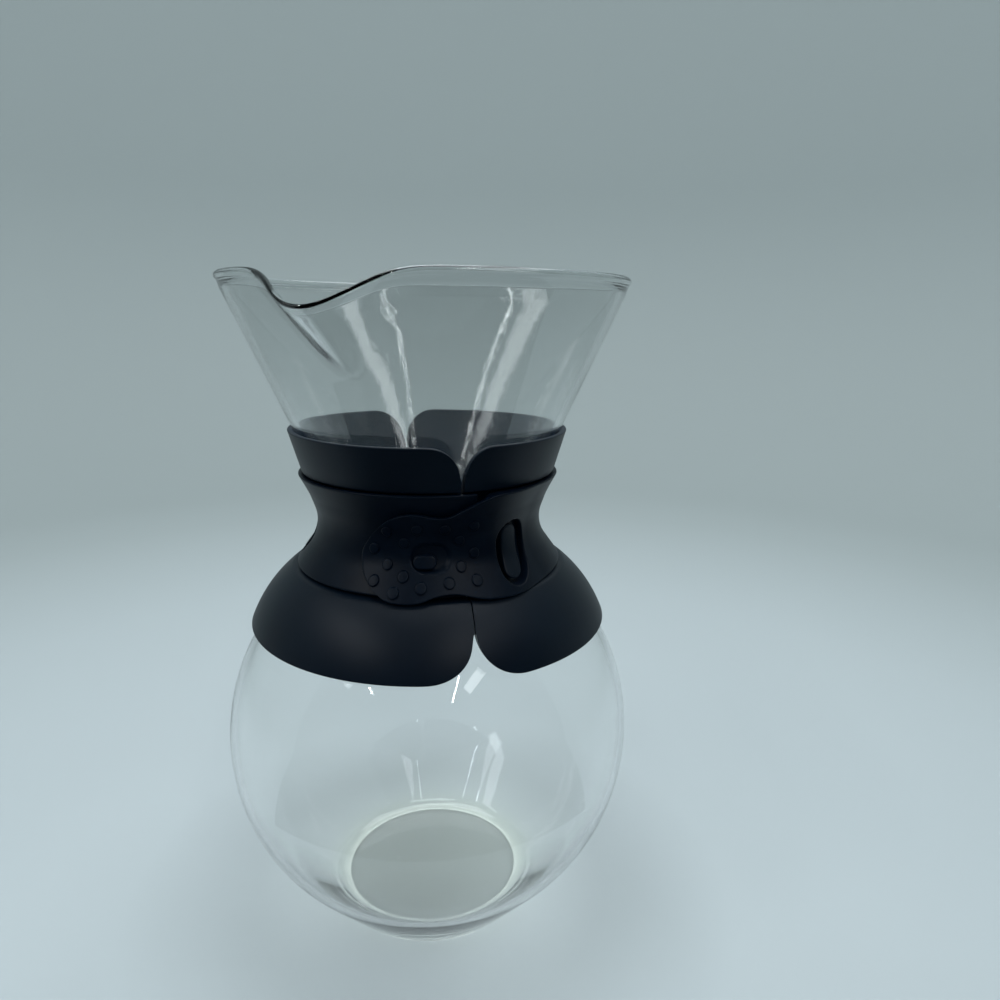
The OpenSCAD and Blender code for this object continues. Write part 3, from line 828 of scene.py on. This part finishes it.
# The tab is the other end of the band. It rises over the lap and ends in a wavy round grip with
# raised dots, and a slot in a shallow dimple takes the stud. Its edges are given as turns in
# degrees from the front slit, and heights in mm.
tab_wall = 1.9 * mm
tab_lift = 0.15 * mm
tab_top = [
    (120, 149.8), (60, 149.8), (30, 149.8), (18, 149.8), (12.5, 149.5), (7.1, 147.9),
    (0.1, 145.4), (-5.7, 143.4), (-11.4, 143.4), (-17.2, 144.3), (-23.0, 144.3),
    (-31.1, 142.0), (-39.2, 137.0)]
tab_bottom = [
    (120, 121.2), (64, 121.2), (40, 120.6), (24, 120.1), (11, 120.3), (3.8, 121.2),
    (-3.1, 122.5), (-10.2, 122.3), (-16.9, 120.8), (-21.9, 120.5), (-28.9, 121.0),
    (-35.4, 123.6)]
tab_tip = [(-35.4, 123.6), (-41.6, 127.6), (-43.8, 132.4), (-39.2, 137.0)]
tip_turn = math.radians(-39.2)
tip_start = math.radians(-22)
front_slot_turn = 27.2
front_bow = 9.0
front_slot_height = slot_height - 0.55 * mm
front_slot_width = slot_width + 0.8 * mm
front_slot_rise = slot_rise - 1 * mm
stud_turn = math.radians(-15.2)
stud_height = strap_bottom + 10.3 * mm
stem_width = 5.55 * mm
stem_rise = 2.75 * mm
dimple_turn = stud_turn + math.radians(2.3)
dimple_height = stud_height + 1 * mm
dimple_width = 11 * mm
dimple_rise = 8.5 * mm
dimple_depth = tab_wall / 2
dimple_soft = 1.2 * mm
ramp_low = math.radians(14)
ramp_high = math.radians(42)
lap_cover_start = math.radians(13)
lap_cover_soft = math.radians(5.5)


def through(points, share):
    """Point on a smooth curve through points, at a share of the number of its stretches."""
    last = len(points) - 1
    start = min(int(share * last), last - 1)
    t = share * last - start
    a, b, c, d = (Vector(points[max(0, min(last, start + step))]) for step in (-1, 0, 1, 2))
    square, cube = 2 * a - 5 * b + 4 * c - d, 3 * b - a - 3 * c + d
    return (2 * b + (c - a) * t + square * t ** 2 + cube * t ** 3) / 2


def level_at(points, turn):
    """Height of an edge of the tab at a turn, which falls along its points."""
    low, high = 0.0, 1.0
    for _ in range(30):
        share = (low + high) / 2
        if math.radians(through(points, share).x) > turn:
            low = share
        else:
            high = share
    return through(points, low).y * mm


def tab_outline(turn, share):
    """Rows run between the two edges, and near the tip they bend to its round end."""
    past = max(0.0, min(1.0, (turn - tip_start) / (tip_turn - tip_start)))
    low_turn = tip_start + (math.radians(tab_tip[0][0]) - tip_start) * past if past else turn
    low = Vector((low_turn, level_at(tab_bottom, low_turn)))
    high = Vector((turn, level_at(tab_top, turn)))
    spot = low.lerp(high, share)
    end = Vector(through(tab_tip, share))
    chord = Vector(tab_tip[0]).lerp(Vector(tab_tip[-1]), share)
    spot.x += math.radians(end.x - chord.x) * past ** 2
    spot.y += (end.y - chord.y) * mm * past ** 2
    return spot.x, spot.y


def smooth_share(value):
    """A share from 0 to 1 that starts and ends softly."""
    value = max(0.0, min(1.0, value))
    return value * value * (3 - 2 * value)


def tab_outside(turn, height):
    """How far the tab's outer face stands above the band's, less the dimple round the stud."""
    rise = (tab_wall + tab_lift) * smooth_share((ramp_high - turn) / (ramp_high - ramp_low))
    away = Vector((strap_outer(height) * math.sin(turn - dimple_turn), height - dimple_height))
    if away.length > dimple_width:
        return rise
    room = dimple_rise
    if away.length:
        room = pill_reach(away.normalized(), dimple_width, dimple_rise) - away.length
    return rise - dimple_depth * smooth_share(room / dimple_soft)


def tab_inside(turn):
    """Depth of the tab's inner face: in the bed at its root, and above the lap beyond."""
    above = smooth_share((lap_cover_start - turn) / lap_cover_soft)
    return bed_depth(turn) * (1 - above) - tab_lift * above


button_sides = 32
edge_steps = 4


def button(name, width, rise, low, high, soft, cuts=0):
    """A rounded bar with soft edges on its flat side, cut across so that it can bend."""
    small = min(width, rise) / 2
    bpy.ops.object.select_all(action="DESELECT")
    bpy.ops.mesh.primitive_circle_add(
        vertices=button_sides, radius=small, fill_type="NGON", location=(0, 0, low))
    obj = bpy.context.object
    obj.name = name
    bpy.ops.object.transform_apply()
    bpy.ops.object.mode_set(mode="EDIT")
    half_side = math.pi / button_sides
    bpy.ops.transform.rotate(value=half_side, orient_axis="Z", center_override=(0, 0, 0))
    bpy.ops.mesh.extrude_region_move(TRANSFORM_OT_translate={"value": (0, 0, high - low)})
    bpy.ops.object.mode_set(mode="OBJECT")
    for vertex in obj.data.vertices:
        vertex.co.x += math.copysign(width / 2 - small, vertex.co.x)
        vertex.co.y += math.copysign(rise / 2 - small, vertex.co.y)
    bpy.ops.object.mode_set(mode="EDIT")
    for cut in range(cuts):
        across = (0, rise * ((cut + 1) / (cuts + 1) - 0.5), 0)
        bpy.ops.mesh.select_all(action="SELECT")
        bpy.ops.mesh.bisect(plane_co=across, plane_no=(0, 1, 0))
    bpy.ops.object.mode_set(mode="OBJECT")
    round_edge = obj.modifiers.new("edge", "BEVEL")
    round_edge.width = soft
    round_edge.segments = edge_steps
    bpy.ops.object.modifier_apply(modifier="edge")
    face_outwards()
    return obj


def shift(obj, x, y):
    """Moves the points of a flat piece to its place on the flat strap."""
    for vertex in obj.data.vertices:
        vertex.co.x += x
        vertex.co.y += y


def joined(objects):
    """Makes the objects one, under the first one's name."""
    bpy.ops.object.select_all(action="DESELECT")
    for obj in objects:
        obj.select_set(True)
    bpy.context.view_layer.objects.active = objects[0]
    bpy.ops.object.join()
    return objects[0]


# The tab's columns run from the seam to the tip. Each slot has a block of them to itself.
stem_start, stem_end = -9.1, -21.3
stem_columns = 8
stem_rows = (4, 7)
tab_blocks = [
    (seam_turn, 2), (back_slot + slot_reach, slot_columns), (back_slot - slot_reach, 16),
    (front_slot_turn + slot_reach, slot_columns), (front_slot_turn - slot_reach, 14),
    (stem_start, stem_columns), (stem_end, 10)]
tip_block_end = -38.4
tab_turns, block_starts = [], []
for (start, steps), (end, _) in zip(tab_blocks, tab_blocks[1:] + [(tip_block_end, 0)]):
    block_starts.append(len(tab_turns))
    tab_turns += turns_between(start, end, steps)
tab_turns += [math.radians(-38.0), tip_turn]
right_slot, front_slot, stem_slot = block_starts[1::2]
right_slot_shape = (math.radians(back_slot), slot_height, slot_width, slot_rise, 0)
front_slot_shape = (
    math.radians(front_slot_turn), front_slot_height, front_slot_width, front_slot_rise, front_bow)
stem_slot_shape = (stud_turn, stud_height, stem_width, stem_rise, 0)
tab = flat_strap(
    "strap_tab_grip", tab_turns, tab_outline,
    [
        ((right_slot, right_slot + slot_columns), slot_rows, right_slot_shape),
        ((front_slot, front_slot + slot_columns), slot_rows, front_slot_shape),
        ((stem_slot, stem_slot + stem_columns), stem_rows, stem_slot_shape),
    ],
    [tab_turns[0]])

# The grip dots lie at these turns in degrees, and heights in mm above the strap's lower edge
dot_width = 2.9 * mm
dot_root = -1 * mm
dot_rise = 0.6 * mm
dot_soft = 0.4 * mm
dot_spots = [
    (5.3, 19.9), (-6.9, 19.4), (-18.3, 19.4), (-31.0, 18.6), (-0.6, 15.8), (-23.9, 15.4),
    (-37.3, 13.3), (5.9, 12.0), (-30.7, 9.5), (-0.4, 8.9), (-23.6, 6.8), (-35.0, 5.4),
    (5.1, 5.3), (-5.9, 5.2), (-16.5, 4.2), (-26.6, 2.9)]
first_dot = button("grip_dot", dot_width, dot_width, dot_root, dot_rise, dot_soft)
dots = []
for turn, rise in dot_spots:
    dot = first_dot.copy()
    dot.data = first_dot.data.copy()
    bpy.context.scene.collection.objects.link(dot)
    shift(dot, math.radians(turn) * flat_radius, strap_bottom + rise * mm)
    dots.append(dot)
bpy.data.objects.remove(first_dot)
tab = joined([tab] + dots)
laid_round(tab, tab_outside, tab_inside)
tab.data.materials.append(silicone)

# The tab's root, and points a degree to each side of it
root_radius = 43 * mm
tab_root = around(math.radians(14), root_radius, waist_height)
root_before = around(math.radians(15), root_radius, 0)
root_after = around(math.radians(13), root_radius, 0)
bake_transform(tab)
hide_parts("strap_tab", "strap_right")

# The stud is moulded on the lap in the same silicone: a soft stem with a rounded oblong head,
# which is squeezed through the tab's slot and holds the tab down. Heights are from the lap's face.
head_width, head_rise, head_low, head_high, head_soft = (
    6.5 * mm, 3.7 * mm, 1.35 * mm, 2.85 * mm, 0.55 * mm)
stalk_width, stalk_rise, stalk_low, stalk_high, stalk_soft = (
    5.3 * mm, 2.5 * mm, -1.75 * mm, 1.7 * mm, 0.1 * mm)
stud_head = button("closing_stud_moulded", head_width, head_rise, head_low, head_high, head_soft)
stud_stem = button("stud_stem", stalk_width, stalk_rise, stalk_low, stalk_high, stalk_soft)
stud = joined([stud_head, stud_stem])
shift(stud, stud_turn * flat_radius, stud_height)
laid_round(stud, no_lift, bed_depth)
stud.data.materials.append(silicone)
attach(stud, "left_half")
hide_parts("closing_stud")

# The bosses are moulded on the shells, of the same plastic. They stand up through the strap's
# slots, a little proud of it, and hold it in its bed.
boss_width = 6 * mm
boss_rise = 15 * mm
boss_root = -2.6 * mm
boss_soft = 0.9 * mm
boss_cuts = 13
front_boss_turn = 26.2
for name, turn, middle, bow, proud, body, node in (
    ("front_boss", front_boss_turn, front_slot_height, front_bow, 0.6,
     "right_half", "collar_shell_right"),
    ("right_boss", back_slot, slot_height, 0, 0.3, "right_half", "collar_shell_right"),
    ("left_boss", -back_slot, slot_height, 0, 0.1, "left_half", "collar_shell_left"),
):
    boss = button(name, boss_width, boss_rise, boss_root, proud * mm, boss_soft, boss_cuts)
    shift(boss, 0, middle)
    for vertex in boss.data.vertices:
        vertex.co.x += bowed(math.radians(turn), vertex.co.y, bow) * flat_radius
    laid_round(boss, no_lift, bed_depth)
    boss.data.materials.append(shell_plastic)
    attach(boss, body)
    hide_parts(node)
